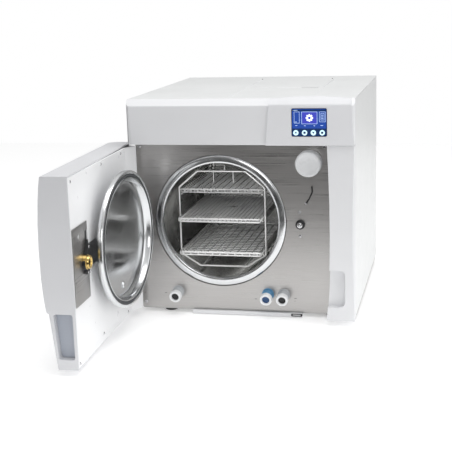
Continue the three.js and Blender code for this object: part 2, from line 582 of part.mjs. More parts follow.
// The door is drawn shut: u along +X to its free edge and v along +Y to the chamber. The hinge pin is
// at (-DATUM.u, -DATUM.v), and the outer group turns the door open about it.
function buildDoor() {
  const swing = new THREE.Group();
  swing.position.set(HINGE.x, HINGE.y, 0);
  swing.rotation.z = THREE.MathUtils.degToRad(-HINGE.openDegrees);
  autoclave.add(swing);
  const door = new THREE.Group();
  door.position.set(DATUM.u, DATUM.v, 0);
  swing.add(door);
  const lidU = -HINGE.x - DATUM.u;
  const lockU = LOCK.x - HINGE.x - DATUM.u;

  const D = DOOR;
  const w = D.wall;
  const front = (inset) => outline([
    [D.bevelV + inset * 4, D.top - inset],
    ...DOOR_PROFILE.map(([z, v]) => [-v + inset, THREE.MathUtils.clamp(z, D.bottom + inset, D.top - inset)]),
    [D.bevelV + inset * 4, D.bottom + inset],
  ]);
  const deepest = -100;
  const plan = outline([
    [D.freeEdge, D.inner], [D.bevelStart, D.inner], [D.bevelEnd, D.bevelV], [D.bevelEnd - 5, D.bevelV],
    [D.dipU, D.dipV], [D.hingeEdge, D.sideEnd], [D.hingeEdge, -72], [D.hingeEdge + 6, -82],
    [D.hingeEdge + 18, deepest],
    [D.freeEdge, deepest],
  ]);
  const innerPlan = outline([
    [D.freeEdge - w, 20], [D.hingeEdge + w, 20], [D.hingeEdge + w, -71], [D.hingeEdge + 8, -79],
    [D.hingeEdge + 19, deepest + 3], [D.freeEdge - w, deepest + 3],
  ]);
  const outerBody = overlap(alongX(front(0), D.hingeEdge - 1, D.freeEdge + 1),
    alongZ(plan, D.bottom - 1, D.top + 1));
  const cavity = overlap(alongX(front(w), D.hingeEdge - 1, D.freeEdge + 1),
    alongZ(innerPlan, D.bottom - 1, D.top + 1));
  const G = DOOR_GRIP;
  const gripLiner = block([D.freeEdge - G.depth - G.wall, D.freeEdge - 1],
    [G.front - G.wall, G.back + G.wall], [G.bottom - G.wall, G.top + G.wall]);
  const gripPocket = block([D.freeEdge - G.depth, D.freeEdge + 1], [G.front, G.back], [G.bottom, G.top]);
  add('door_shell', cut(outerBody, cut(cavity, gripLiner), gripPocket), 'white', door);

  const t = D.strip;
  const sheet = outline([
    [D.freeEdge - w - GAP, D.inner], [D.bevelStart, D.inner], [D.bevelEnd, D.bevelV],
    [D.bevelEnd - 5, D.bevelV], [D.dipU, D.dipV], [D.hingeEdge + w + GAP, D.sideEnd + 1],
    [D.hingeEdge + w + GAP, D.sideEnd + 1 - t], [D.dipU + 1.5, D.dipV - t],
    [D.bevelEnd - 2, D.bevelV - t], [D.bevelStart - 1, D.inner - t], [D.freeEdge - w - GAP, D.inner - t],
  ]);
  const slot = block([-25, YOKE.blockEnd + GAP], [-60, 10], [-YOKE.half - 2, YOKE.half + 2]);
  const blockSlot = block([YOKE.blockStart - 1, YOKE.blockEnd + GAP], [-60, 10],
    [YOKE.blockBottom - GAP, YOKE.blockTop + GAP]);
  const hubSlot = disc(lidU, 0, YOKE.hubRadius + 1, -60, 10, 28);
  const cover = alongZ(sheet, D.bottom + w + GAP, D.top - w - GAP);
  add('door_inner_cover', cut(cover, slot, blockSlot, hubSlot), 'white', door);

  // The lid rocks on the pivot's tip, and hangs turned a little towards the free edge while the door is open.
  const L = LID;
  const lid = new THREE.Group();
  lid.position.set(lidU, L.back, 0);
  lid.rotation.z = THREE.MathUtils.degToRad(-L.tiltDegrees);
  door.add(lid);
  const onPivot = (profile) => turned(profile.map(([radius, v]) => [radius, v - L.back]));
  add('lid', onPivot([
    [0, L.back], [L.backRadius, L.back], [L.radius, L.shoulderV], [L.radius, L.rim],
    [L.grooveOuter, L.rim], [L.grooveOuter, L.grooveFloor], [L.grooveInner, L.grooveFloor],
    [L.grooveInner, L.rim], [L.panMouth, L.rim], [L.panFoot, L.panFootV],
    [L.panFloorRadius, L.back + L.sheet], [0, L.back + L.sheet],
  ]), 'polished', lid);
  add('lid_seal', onPivot([
    [L.grooveInner + GAP, L.grooveFloor + GAP], [L.grooveOuter - GAP, L.grooveFloor + GAP],
    [L.grooveOuter - GAP, L.rim + SEAL.proud], [L.grooveInner + GAP, L.rim + SEAL.proud],
    [L.grooveInner + GAP, L.grooveFloor + GAP],
  ]), 'rubber', lid);

  const Y = YOKE;
  const beam = block([Y.beamStart, Y.blockEnd], [Y.rear, Y.front], [-Y.half, Y.half]);
  const knuckle = post(-DATUM.u, -DATUM.v, HINGE.knuckle, -HINGE.inner + GAP, HINGE.inner - GAP);
  const neck = block(Y.neck, [Y.rear, -DATUM.v], [-HINGE.inner + GAP, HINGE.inner - GAP]);
  const end = block([Y.blockStart, Y.blockEnd], [Y.blockRear, Y.blockFront], [Y.blockBottom, Y.blockTop]);
  const pad = alongY(outline(PAD, [ring(lockU, LOCK.z, NUT.radius + GAP, 24)]), NUT.back, Y.padFront);
  const hub = disc(lidU, 0, Y.hubRadius, Y.rear, Y.front, 28);
  const pinHole = post(-DATUM.u, -DATUM.v, HINGE.pinRadius + GAP, -60, 60);
  add('yoke', cut(join(beam, knuckle, neck, end, hub, pad), pinHole), 'castBlack', door);
  add('lid_pivot', turned(PIVOT, lidU, 0, SMALL_ROUND), 'bronze', door);

  const K = LOCK_PLATE;
  const plateShape = outline([
    [K.left, K.bottom], [K.right, K.bottom], [K.right, K.top], [K.left, K.top],
    [K.left, Y.blockTop + 2], [Y.blockEnd + 2, Y.blockTop + 2],
    [Y.blockEnd + 2, Y.blockBottom - 2], [K.left, Y.blockBottom - 2],
  ], [ring(LOCK_HOLE.u, LOCK_HOLE.z, LOCK_HOLE.radius, SMALL_ROUND)]);
  add('lock_plate', alongY(plateShape, D.inner + GAP, K.front), 'steel', door);
  add('lock_nut', turned([
    [NUT.bore, NUT.back], [NUT.radius, NUT.back], [NUT.radius, NUT.front + 1.5],
    [NUT.radius - 1.5, NUT.front], [NUT.bore, NUT.front], [NUT.bore, NUT.back],
  ], lockU, LOCK.z, 24), 'brass', door);

  const knuckles = [1, -1].map((s) => {
    const z = s > 0 ? [HINGE.inner, HINGE.half] : [-HINGE.half, -HINGE.inner];
    const arm = block([HINGE.x - HINGE.knuckle, HINGE.x + HINGE.knuckle], [HINGE.y, -GAP], z);
    return join(arm, post(HINGE.x, HINGE.y, HINGE.knuckle, z[0], z[1]));
  });
  const leaf = block([HINGE.x - HINGE.knuckle, HINGE.x + HINGE.knuckle], [-HINGE.leaf, -GAP],
    [-HINGE.half, HINGE.half]);
  const bore = post(HINGE.x, HINGE.y, HINGE.pinRadius + GAP, -60, 60);
  add('hinge_bracket', cut(join(leaf, ...knuckles), bore), 'steel');
  add('hinge_pin', post(HINGE.x, HINGE.y, HINGE.pinRadius, -HINGE.half - 2, HINGE.half + 2), 'polished');
}

buildHousing();
buildFront();
buildPlate();
buildChamber();
buildLoad();
buildWorks();
buildDoor();

autoclave.position.set(ORIGIN.x, ORIGIN.y, ORIGIN.z);
autoclave.updateMatrixWorld(true);

export default autoclave;
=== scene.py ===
"""Looks of the benchtop autoclave: a camera, a pale studio, materials, and a detailed piece for every part that shows.

Lengths are millimetres about the chamber's axis on the face of the front plate, as in the model's own drawing:
x to the right, y to the back, z up. HOME turns them into the frame's metres. Door pieces are drawn with the door
shut, in u towards its free edge and v towards the chamber: DATUM is how far their zero is from the hinge pin, and
DOOR turns them into place with the door open. LID is the lid's own place, on the tip of its pivot.
"""

import json
import math

import bmesh
import bpy
from mathutils import Matrix, Vector
from mathutils.geometry import tessellate_polygon


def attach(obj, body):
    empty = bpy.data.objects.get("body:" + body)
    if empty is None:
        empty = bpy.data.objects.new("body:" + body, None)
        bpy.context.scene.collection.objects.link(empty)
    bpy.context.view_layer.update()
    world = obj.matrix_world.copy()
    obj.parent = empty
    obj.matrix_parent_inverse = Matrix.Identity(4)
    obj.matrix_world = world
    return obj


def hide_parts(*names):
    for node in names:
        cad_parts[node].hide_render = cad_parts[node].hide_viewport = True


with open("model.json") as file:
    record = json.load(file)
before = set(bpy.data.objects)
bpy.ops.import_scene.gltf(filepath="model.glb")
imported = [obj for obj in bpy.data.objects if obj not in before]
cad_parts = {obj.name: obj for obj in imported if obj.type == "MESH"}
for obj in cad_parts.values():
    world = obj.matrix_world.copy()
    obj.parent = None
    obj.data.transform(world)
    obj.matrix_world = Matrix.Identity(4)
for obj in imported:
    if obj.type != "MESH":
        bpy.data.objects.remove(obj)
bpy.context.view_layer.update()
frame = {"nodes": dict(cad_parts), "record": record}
nodes = frame["nodes"]
scene = bpy.context.scene

MM = 0.001
ROUND = 96          # sides of a large turned piece
SMALL_ROUND = 48

# Housing: its sides, front and top, the foot of the hood, and the front plate.
LEFT, RIGHT, FRONT, TOP = -181.5, 291.5, -58, 264.6
HOOD_FOOT = 171.8
PLATE_X, PLATE_Z = (-180.5, 288), (-195.4, 171.4)

# Where the fittings sit on the front plate, in x and z.
FILTER = (193, 128)
LOCK = (172, -4)
PORTS_Z = -158
PORTS = {"left": -98.4, "blue": 100, "right": 134.7}

# Rack and trays: half the width of a tray, its length and depth, and the heights of the three rims.
TRAY_HALF, TRAY_LENGTH, TRAY_DEPTH = 88.5, 290, 9
TRAY_TOP, TRAY_MIDDLE, TRAY_BOTTOM = 67, 9, -64

# Door: its top, foot, free edge and inner face, how far it is open, and the lid on its pivot.
DOOR_TOP, DOOR_FOOT, FREE = 167.3, -193.5, 390
INNER_FACE = -33
OPEN_DEGREES, TILT_DEGREES = -88.3, -5.9
PIVOT_U = 157
LID_BACK = -10.7
NUT_U = 329
HINGE = (-162.5, -14.6)
DATUM = Vector((5.5, 5.3, 0))
PIN, PIN_HOLE, KNUCKLE = 5, 5.3, 10.5
KNUCKLE_INNER, KNUCKLE_OUTER = 20, 46


def turn_z(degrees):
    return Matrix.Rotation(math.radians(degrees), 4, "Z")


HOME = Matrix.Translation(Vector((-19.4, -36.5, 206)) * MM) @ Matrix.Scale(MM, 4)
DOOR = HOME @ Matrix.Translation((*HINGE, 0)) @ turn_z(OPEN_DEGREES) @ Matrix.Translation(DATUM)
LID = DOOR @ Matrix.Translation((PIVOT_U, LID_BACK, 0)) @ turn_z(TILT_DEGREES)

# Studio surroundings: an even base, and how much more comes from above, the right, the left and behind.
WORLD_BASE = 0.05
WORLD_LIGHT = [((0.2, 0, 1), 0.55), ((1, -0.15, 0.25), 0.35), ((-1, -0.5, 0.3), 0.12), ((0, 1, 0.4), 0.3)]

# The signs on the display, with their colours and how much they glow.
SCREEN = {
    "screen_blue": ((0.02, 0.06, 0.30), 0.5),
    "screen_navy": ((0.01, 0.03, 0.10), 0.4),
    "screen_violet": ((0.05, 0.06, 0.42), 0.5),
    "screen_pale": ((0.5, 0.66, 0.9), 0.5),
    "screen_white": ((0.9, 0.95, 1), 0.6),
    "screen_cyan": ((0.62, 0.86, 0.95), 0.55),
}

# Shades of a slot's material, and the slot that each belongs to: the display's signs, and darker copies of the door
# plastic and the port blue that are painted shade in the door's pull pocket and the blue port's bore.
SHADES = {name: "display" for name in SCREEN}
SHADES.update(pocket_plastic="door_plastic", bore_blue="port_blue")


# ---------------------------------------------------------------- camera, light and floor

def make_camera():
    """The view from the front: just right of the middle, a little above, through a long lens."""
    yaw, pitch, roll = 0.224, -0.221, -0.030
    forward = Vector((-math.sin(yaw) * math.cos(pitch), math.cos(yaw) * math.cos(pitch), math.sin(pitch)))
    right = Vector((math.cos(yaw), math.sin(yaw), 0))
    up = right.cross(forward)
    x = math.cos(roll) * right + math.sin(roll) * up
    y = math.cos(roll) * up - math.sin(roll) * right
    camera = bpy.data.objects.new("camera", bpy.data.cameras.new("camera"))
    camera.data.lens = 83.38
    camera.data.sensor_width = 36
    turn = Matrix((x, y, -forward)).transposed().to_4x4()
    camera.matrix_world = Matrix.Translation(Vector((475.7, -2155.9, 684.1)) * MM) @ turn
    scene.collection.objects.link(camera)
    scene.camera = camera


def area_light(name, place, target, size, power):
    light = bpy.data.lights.new(name, "AREA")
    light.shape = "RECTANGLE"
    light.size, light.size_y = size
    light.energy = power
    lamp = bpy.data.objects.new(name, light)
    lamp.location = place
    lamp.rotation_euler = (Vector(target) - Vector(place)).to_track_quat("-Z", "Y").to_euler()
    scene.collection.objects.link(lamp)


def make_world():
    """Soft studio surroundings: bright overhead and to the right, dim in front. The camera sees them plain white."""
    world = bpy.data.worlds.new("studio")
    world.use_nodes = True
    tree = world.node_tree
    background = tree.nodes["Background"]
    place = tree.nodes.new("ShaderNodeTexCoord")
    mix = tree.nodes.new("ShaderNodeMix")
    mix.data_type = "RGBA"
    total = None
    for direction, weight in WORLD_LIGHT:
        dot = tree.nodes.new("ShaderNodeVectorMath")
        dot.operation = "DOT_PRODUCT"
        dot.inputs[1].default_value = Vector(direction).normalized()
        tree.links.new(place.outputs["Generated"], dot.inputs[0])
        spread = tree.nodes.new("ShaderNodeMapRange")
        spread.interpolation_type = "SMOOTHSTEP"
        spread.inputs["From Min"].default_value, spread.inputs["From Max"].default_value = 0, 1
        spread.inputs["To Max"].default_value = weight
        tree.links.new(dot.outputs["Value"], spread.inputs["Value"])
        adder = tree.nodes.new("ShaderNodeMath")
        tree.links.new(spread.outputs["Result"], adder.inputs[0])
        if total:
            tree.links.new(total, adder.inputs[1])
        else:
            adder.inputs[1].default_value = WORLD_BASE
        total = adder.outputs["Value"]
    grey = tree.nodes.new("ShaderNodeCombineColor")
    for channel in ("Red", "Green", "Blue"):
        tree.links.new(total, grey.inputs[channel])
    rays = tree.nodes.new("ShaderNodeLightPath")
    tree.links.new(rays.outputs["Is Camera Ray"], mix.inputs["Factor"])
    tree.links.new(grey.outputs["Color"], mix.inputs["A"])
    mix.inputs["B"].default_value = (1, 1, 1, 1)
    tree.links.new(mix.outputs["Result"], background.inputs["Color"])
    scene.world = world


def stage_sheet(name, place, size, material):
    bpy.ops.mesh.primitive_plane_add(size=1, location=place)
    sheet = bpy.context.object
    sheet.name = name
    sheet.scale = size
    sheet.data.materials.append(material)
    return sheet


def make_studio():
    """Three soft lights, a white floor, and a black flag in front that only the bright metal sees."""
    make_world()
    area_light("overhead", (0.2, -0.4, 2.2), (0.05, -0.05, 0.3), (1.8, 1.3), 22)
    area_light("side", (2.3, -0.7, 1.0), (0, 0, 0.2), (1.4, 1.6), 6)
    area_light("front", (0.35, -2.4, 0.9), (0, 0.1, 0.2), (0.9, 0.7), 6)
    white = plain("floor_white", (0.92, 0.92, 0.92), 0.9, Emission_Color=(1, 1, 1, 1), Emission_Strength=0.30)
    stage_sheet("floor", (0.1, 0.7, 0), (4.4, 3.6, 1), white)
    black = plain("flag_black", (0.01, 0.01, 0.01), 0.9)
    flag = stage_sheet("flag", (0.15, -1.4, 0.002), (1.1, 1.3, 1), black)
    flag.visible_camera = flag.visible_diffuse = flag.visible_shadow = False
    scene.view_settings.view_transform = "Standard"


# ---------------------------------------------------------------- materials

def plain(name, colour, roughness, metal=0.0, **sockets):
    """A material with one shader. Values that are the same all over go straight on its sockets."""
    material = bpy.data.materials.new(name)
    material.use_nodes = True
    shader = material.node_tree.nodes["Principled BSDF"]
    shader.inputs["Base Color"].default_value = (*colour, 1)
    shader.inputs["Roughness"].default_value = roughness
    shader.inputs["Metallic"].default_value = metal
    for socket, value in sockets.items():
        shader.inputs[socket.replace("_", " ")].default_value = value
    return material


def add_node(material, kind, **settings):
    node = material.node_tree.nodes.new("ShaderNode" + kind)
    for key, value in settings.items():
        if key in node.inputs:
            node.inputs[key].default_value = value
        else:
            setattr(node, key, value)
    return node


def noise(material, scale, detail=4.0, stretch=(1, 1, 1)):
    """Noise in the object's own metres, drawn out along an axis by a small stretch."""
    links = material.node_tree.links
    place = add_node(material, "TexCoord")
    mapping = add_node(material, "Mapping")
    mapping.inputs["Scale"].default_value = stretch
    texture = add_node(material, "TexNoise", Scale=scale, Detail=detail)
    links.new(place.outputs["Object"], mapping.inputs["Vector"])
    links.new(mapping.outputs["Vector"], texture.inputs["Vector"])
    return texture.outputs["Fac"]


def ramp(material, source, low, high, start=0.3, end=0.7):
    """Maps a texture's middle range onto low..high, which are numbers or colours."""
    if isinstance(low, tuple):
        node = add_node(material, "ValToRGB")
        node.color_ramp.elements[0].position, node.color_ramp.elements[1].position = start, end
        node.color_ramp.elements[0].color = (*low, 1)
        node.color_ramp.elements[1].color = (*high, 1)
        material.node_tree.links.new(source, node.inputs["Fac"])
        return node.outputs["Color"]
    node = add_node(material, "MapRange")
    node.inputs["From Min"].default_value, node.inputs["From Max"].default_value = start, end
    node.inputs["To Min"].default_value, node.inputs["To Max"].default_value = low, high
    material.node_tree.links.new(source, node.inputs["Value"])
    return node.outputs["Result"]


def set_socket(material, socket, output):
    shader = material.node_tree.nodes["Principled BSDF"]
    material.node_tree.links.new(output, shader.inputs[socket])


def bump(material, source, strength, distance):
    node = add_node(material, "Bump", Strength=strength, Distance=distance)
    material.node_tree.links.new(source, node.inputs["Height"])
    set_socket(material, "Normal", node.outputs["Normal"])


def coated(name, colour, roughness, grain=900, depth=0.00004):
    """Powder coat or satin moulding: faint orange peel, and a slow drift of shade and gloss."""
    material = plain(name, colour, roughness)
    drift = noise(material, 9, 2)
    darker = tuple(c * 0.965 for c in colour)
    set_socket(material, "Base Color", ramp(material, drift, darker, colour))
    set_socket(material, "Roughness", ramp(material, noise(material, 60), roughness * 0.85, roughness * 1.15))
    if depth:
        bump(material, noise(material, grain, 1), 0.06, depth)
    return material


def brushed(name, colour, roughness, stretch):
    """Steel with a fine grain, drawn out along the axes where stretch is small."""
    material = plain(name, colour, roughness, 1.0)
    grain = noise(material, 1, 6, stretch)
    darker = tuple(c * 0.93 for c in colour)
    set_socket(material, "Base Color", ramp(material, grain, darker, colour, 0.35, 0.65))
    set_socket(material, "Roughness", ramp(material, grain, roughness * 0.8, roughness * 1.2))
    bump(material, grain, 0.12, 0.00003)
    return material


def polished(name, colour, roughness):
    """Bright metal with faint smears and hair scratches."""
    material = plain(name, colour, roughness, 1.0)
    set_socket(material, "Roughness", ramp(material, noise(material, 24), roughness * 0.6, roughness * 1.5))
    bump(material, noise(material, 220, 3), 0.05, 0.00002)
    return material


def make_materials():
    """One material for each slot and shade, and the slot's own on every solid of the frame."""
    made = {
        "white_paint": coated("white_paint", (0.77, 0.78, 0.78), 0.38),
        "door_plastic": coated("door_plastic", (0.70, 0.705, 0.725), 0.36, 500),
        "door_cover_paint": coated("door_cover_paint", (0.92, 0.925, 0.935), 0.32, depth=0),
        "pale_grey_plastic": coated("pale_grey_plastic", (0.77, 0.775, 0.79), 0.42, 1400, 0.00006),
        "module_plastic": coated("module_plastic", (0.76, 0.765, 0.785), 0.4, 1400, 0.00006),
        "brushed_stainless": brushed("brushed_stainless", (0.50, 0.488, 0.478), 0.32, (6, 6, 900)),
        "hinge_steel": brushed("hinge_steel", (0.42, 0.42, 0.43), 0.4, (700, 700, 8)),
        "sheet_steel": brushed("sheet_steel", (0.5, 0.5, 0.49), 0.5, (60, 60, 60)),
        "chamber_steel": polished("chamber_steel", (0.5, 0.5, 0.49), 0.2),
        "lid_steel": polished("lid_steel", (0.70, 0.71, 0.72), 0.17),
        "wire_steel": polished("wire_steel", (0.96, 0.96, 0.95), 0.45),
        "spindle_steel": polished("spindle_steel", (0.6, 0.6, 0.61), 0.2),
        "brass": polished("brass", (0.62, 0.44, 0.16), 0.2),
        "bronze": polished("bronze", (0.48, 0.24, 0.12), 0.3),
        "black_casting": coated("black_casting", (0.012, 0.012, 0.014), 0.45, 300, 0.0002),
        "black_plastic": coated("black_plastic", (0.015, 0.015, 0.017), 0.5),
        "foot_rubber": coated("foot_rubber", (0.012, 0.012, 0.013), 0.8, 600, 0.0001),
        "seal_rubber": coated("seal_rubber", (0.05, 0.054, 0.058), 0.6, 600, 0.0001),
        "motor_metal": coated("motor_metal", (0.06, 0.065, 0.07), 0.45),
        "port_grey": coated("port_grey", (0.5, 0.52, 0.54), 0.4),
        "port_blue": coated("port_blue", (0.10, 0.29, 0.5), 0.35),
        "port_white": coated("port_white", (0.84, 0.85, 0.86), 0.3),
        "insulation": coated("insulation", (0.3, 0.3, 0.28), 0.95, 250, 0.001),
        "tank_plastic": coated("tank_plastic", (0.68, 0.75, 0.8), 0.3),
        "circuit_board": coated("circuit_board", (0.01, 0.09, 0.04), 0.5),
        "condenser_aluminium": brushed("condenser_aluminium", (0.6, 0.6, 0.61), 0.4, (400, 20, 20)),
        "heater_rubber": coated("heater_rubber", (0.35, 0.06, 0.03), 0.6),
        "display": plain("display", (0.01, 0.02, 0.09), 0.12),
        # The next two are darker copies of the port blue and the door plastic: painted shade inside the blue port's
        # bore and the door's pull pocket.
        "bore_blue": plain("bore_blue", (0.02, 0.07, 0.19), 0.4),
        "pocket_plastic": coated("pocket_plastic", (0.44, 0.47, 0.53), 0.4, depth=0),
    }
    for name, (colour, glow) in SCREEN.items():
        made[name] = plain(name, colour, 0.15, Emission_Color=(*colour, 1), Emission_Strength=glow)
    for entry in frame["record"]["subparts"]:
        node = nodes[entry["node"]]
        node.data.materials.clear()
        node.data.materials.append(made[entry["material_slot"]])
    return made


# ---------------------------------------------------------------- shapes, all in millimetres

def arc(centre, radius, start, end, steps=8):
    """Points along a circle from one angle to another, in degrees."""
    angles = [math.radians(start + (end - start) * i / steps) for i in range(steps + 1)]
    return [(centre[0] + radius * math.cos(a), centre[1] + radius * math.sin(a)) for a in angles]


def fillet(points, radius, steps=6):
    """A closed outline with its corners rounded. radius is one number, or one for each corner."""
    radii = radius if isinstance(radius, (list, tuple)) else [radius] * len(points)
    made = []
    for i, corner in enumerate(points):
        here = Vector(corner)
        before, after = Vector(points[i - 1]) - here, Vector(points[(i + 1) % len(points)]) - here
        half = before.angle(after) / 2
        if radii[i] <= 0 or half > math.radians(87):
            made.append(tuple(here))
            continue
        reach = min(radii[i] / math.tan(half), before.length * 0.49, after.length * 0.49)
        a, b = here + before.normalized() * reach, here + after.normalized() * reach
        for step in range(steps + 1):
            t = step / steps
            made.append(tuple(a * (1 - t) ** 2 + here * 2 * t * (1 - t) + b * t ** 2))
    return made


def rectangle(x, y):
    return [(x[0], y[0]), (x[1], y[0]), (x[1], y[1]), (x[0], y[1])]


def circle(x, y, radius, sides=SMALL_ROUND):
    turns = [2 * math.pi * i / sides for i in range(sides)]
    return [(x + radius * math.cos(a), y + radius * math.sin(a)) for a in turns]


AXES = {
    "x": lambda a, b, depth: (depth, a, b),
    "y": lambda a, b, depth: (a, depth, b),
    "z": lambda a, b, depth: (a, b, depth),
}


def prism(axis, outline, low, high, holes=()):
    """An outline drawn out along an axis: (y, z) along x, (x, z) along y, or (x, y) along z."""
    bm = bmesh.new()
    loops = [outline, *holes]
    flat = [point for loop in loops for point in loop]
    ends = [[bm.verts.new(AXES[axis](*point, depth)) for point in flat] for depth in (low, high)]
    for face in tessellate_polygon([[(*point, 0) for point in loop] for loop in loops]):
        for end in ends:
            bm.faces.new([end[i] for i in face])
    start = 0
    for loop in loops:
        for i in range(len(loop)):
            a, b = start + i, start + (i + 1) % len(loop)
            bm.faces.new([ends[0][a], ends[0][b], ends[1][b], ends[1][a]])
        start += len(loop)
    bmesh.ops.recalc_face_normals(bm, faces=bm.faces)
    bmesh.ops.dissolve_limit(bm, angle_limit=0.002, verts=bm.verts, edges=bm.edges)
    return bm


def block(x, y, z, radius=0.0):
    return prism("z", fillet(rectangle(x, y), radius) if radius else rectangle(x, y), *z)


def turned(profile, sides=ROUND, centre=(0, 0)):
    """A piece turned about a line along y. The profile is (radius, y) points, and closes on itself."""
    bm = bmesh.new()
    rings = []
    for i in range(sides):
        a = 2 * math.pi * i / sides
        rings.append([bm.verts.new((centre[0] + r * math.cos(a), y, centre[1] + r * math.sin(a)))
                      for r, y in profile])
    count = len(profile)
    for i, ring in enumerate(rings):
        after = rings[(i + 1) % sides]
        for j in range(count):
            k = (j + 1) % count
            if max(profile[j][0], profile[k][0]) > 1e-6:
                bm.faces.new([ring[j], ring[k], after[k], after[j]])
    bmesh.ops.remove_doubles(bm, verts=bm.verts, dist=1e-4)
    bmesh.ops.recalc_face_normals(bm, faces=bm.faces)
    return bm


def rod(path, radius, closed=False, sides=10):
    """A round wire along a path of points."""
    bm = bmesh.new()
    points = [Vector(p) for p in path]
    count = len(points)
    normal = None
    rings = []
    for i, point in enumerate(points):
        before = points[i - 1] if closed or i else point
        after = points[(i + 1) % count] if closed or i < count - 1 else point
        along = (after - before).normalized()
        if normal is None:
            normal = along.orthogonal().normalized()
        normal = (normal - along * normal.dot(along)).normalized()
        side = along.cross(normal)
        widen = 1.0
        if before is not point and after is not point:
            half = (point - before).angle(after - point, 0) / 2
            widen = 1 / max(math.cos(half), 0.5)
        rings.append([bm.verts.new(point + radius * widen * (normal * math.cos(a) + side * math.sin(a)))
                      for a in (2 * math.pi * k / sides for k in range(sides))])
    for i in range(count if closed else count - 1):
        a, b = rings[i], rings[(i + 1) % count]
        for k in range(sides):
            m = (k + 1) % sides
            bm.faces.new([a[k], a[m], b[m], b[k]])
    if not closed:
        bm.faces.new(rings[0][::-1])
        bm.faces.new(rings[-1])
    return bm


def gather(parts):
    """Several meshes as one, each left as its own solid."""
    whole = bmesh.new()
    for part in parts:
        mesh = bpy.data.meshes.new("part")
        part.to_mesh(mesh)
        part.free()
        whole.from_mesh(mesh)
        bpy.data.meshes.remove(mesh)
    return whole


def combine(operation, base, *tools):
    """base with each tool cut away (DIFFERENCE), kept in common (INTERSECT) or added (UNION)."""
    made = []
    for bm in (base, *tools):
        mesh = bpy.data.meshes.new("part")
        bmesh.ops.recalc_face_normals(bm, faces=bm.faces)
        bm.to_mesh(mesh)
        bm.free()
        made.append(bpy.data.objects.new("part", mesh))
        scene.collection.objects.link(made[-1])
    for tool in made[1:]:
        modifier = made[0].modifiers.new("boolean", "BOOLEAN")
        modifier.operation = operation
        modifier.object = tool
        modifier.solver = "EXACT"
    result = bmesh.new()
    result.from_object(made[0], bpy.context.evaluated_depsgraph_get())
    for obj in made:
        mesh = obj.data
        bpy.data.objects.remove(obj)
        bpy.data.meshes.remove(mesh)
    bmesh.ops.dissolve_limit(result, angle_limit=0.01, verts=result.verts, edges=result.edges)
    return result


def add(name, bm, slot, body, stands_for=(), place=HOME, bevel=0.0):
    """Makes a piece from a mesh in millimetres, puts it in place and lets it ride on a body."""
    bmesh.ops.remove_doubles(bm, verts=bm.verts, dist=1e-4)
    bmesh.ops.recalc_face_normals(bm, faces=bm.faces)
    mesh = bpy.data.meshes.new(name)
    bm.to_mesh(mesh)
    bm.free()
    mesh.transform(place)
    mesh.shade_smooth()
    mesh.materials.append(materials[slot])
    piece = bpy.data.objects.new(name, mesh)
    scene.collection.objects.link(piece)
    if bevel:
        modifier = piece.modifiers.new("edges", "BEVEL")
        modifier.width = bevel * MM
        modifier.segments = 3
        modifier.limit_method = "ANGLE"
        modifier.angle_limit = math.radians(25)
        modifier.harden_normals = True
    else:
        mesh.set_sharp_from_angle(angle=math.radians(35))
    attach(piece, body)
    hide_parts(*stands_for)
    return piece


# ---------------------------------------------------------------- housing


def plan(x, y, radii):
    """A footprint from above, its corners rounded: front left, front right, back right, back left."""
    return fillet(rectangle(x, y), radii)


def make_hood():
    profile = fillet([(-38, HOOD_FOOT + 1), (-38, TOP), (-41, TOP), (FRONT, 251), (FRONT, HOOD_FOOT)],
                     [0, 0, 6, 5, 1.5])
    solid = combine("INTERSECT", prism("x", profile, LEFT, RIGHT),
                    prism("z", plan((LEFT, RIGHT), (FRONT, -30), [14, 6, 0, 0]), 150, 280))
    hollow = block((LEFT + 3, RIGHT - 3), (FRONT + 3, 0), (HOOD_FOOT + 3, 249))
    add("hood_moulding", combine("DIFFERENCE", solid, hollow), "pale_grey_plastic", "housing", ["hood"])
    flange = block((LEFT + 2.5, RIGHT - 2.5), (-40, -0.5), (HOOD_FOOT, HOOD_FOOT + 3))
    add("hood_flange", flange, "pale_grey_plastic", "housing")


MODULE_FOOT, MODULE_BROW = 171.4, 253


def module_face(z):
    """How far forward the display module's leaning face is at a height."""
    return -62.5 + 1.5 * (z - MODULE_FOOT) / (MODULE_BROW - MODULE_FOOT)


def make_display():
    crown = arc((202, -520), 788.5, 95.9, 83.9, 24)
    outline = [(284.5, 264.5), (291, MODULE_FOOT), (113, MODULE_FOOT), (121, 265), *crown[1:-1]]
    side = [(-62.5, MODULE_FOOT), (-20, MODULE_FOOT), (-20, 268), (-46, 268.4), (-49, 267.5), (-61, MODULE_BROW)]
    front = prism("y", fillet(outline, [6, 1, 1, 4] + [0] * (len(crown) - 2)), -70, -38.5)
    body = combine("INTERSECT", front, prism("x", fillet(side, [1, 0, 0, 0, 4, 8]), 100, 300))
    pocket = prism("y", fillet(rectangle((165.8, 237.6), (189.4, 246.6)), 4), -80, -60.2)
    panel = prism("y", fillet(rectangle((144, 260), (184.5, 253.5)), 8), -80, -61.9)
    low, high = 150, 290
    skin = [(module_face(low) - 5, low), (module_face(high) - 5, high),
            (module_face(high) + 0.5, high), (module_face(low) + 0.5, low)]
    inset = combine("INTERSECT", panel, prism("x", skin, 100, 300))
    add("display_housing", combine("DIFFERENCE", body, pocket, inset), "module_plastic", "housing",
        ["display_module"], bevel=0.8)
    glass = prism("y", fillet(rectangle((166.3, 237.1), (189.9, 246.1)), 3.5), -61.4, -60.4)
    add("display_glass", glass, "display", "housing", ["display_screen"], bevel=0.3)


def on_screen(name, shapes, slot, layer):
    """Flat signs on the display: outlines in x and z, with any holes, laid on the glass in layers."""
    place = HOME @ Matrix.Translation((0, -61.42 - 0.08 * layer, 0))
    parts = [prism("y", outline, -0.06, 0, holes) for outline, holes in shapes]
    add(name, gather(parts), slot, "housing", place=place)


def frame_of(x, z, radius, width):
    """The outline of a rounded frame, and its hole."""
    inside = rectangle((x[0] + width, x[1] - width), (z[0] + width, z[1] - width))
    return fillet(rectangle(x, z), radius), [fillet(inside, max(radius - width, 0.1))]


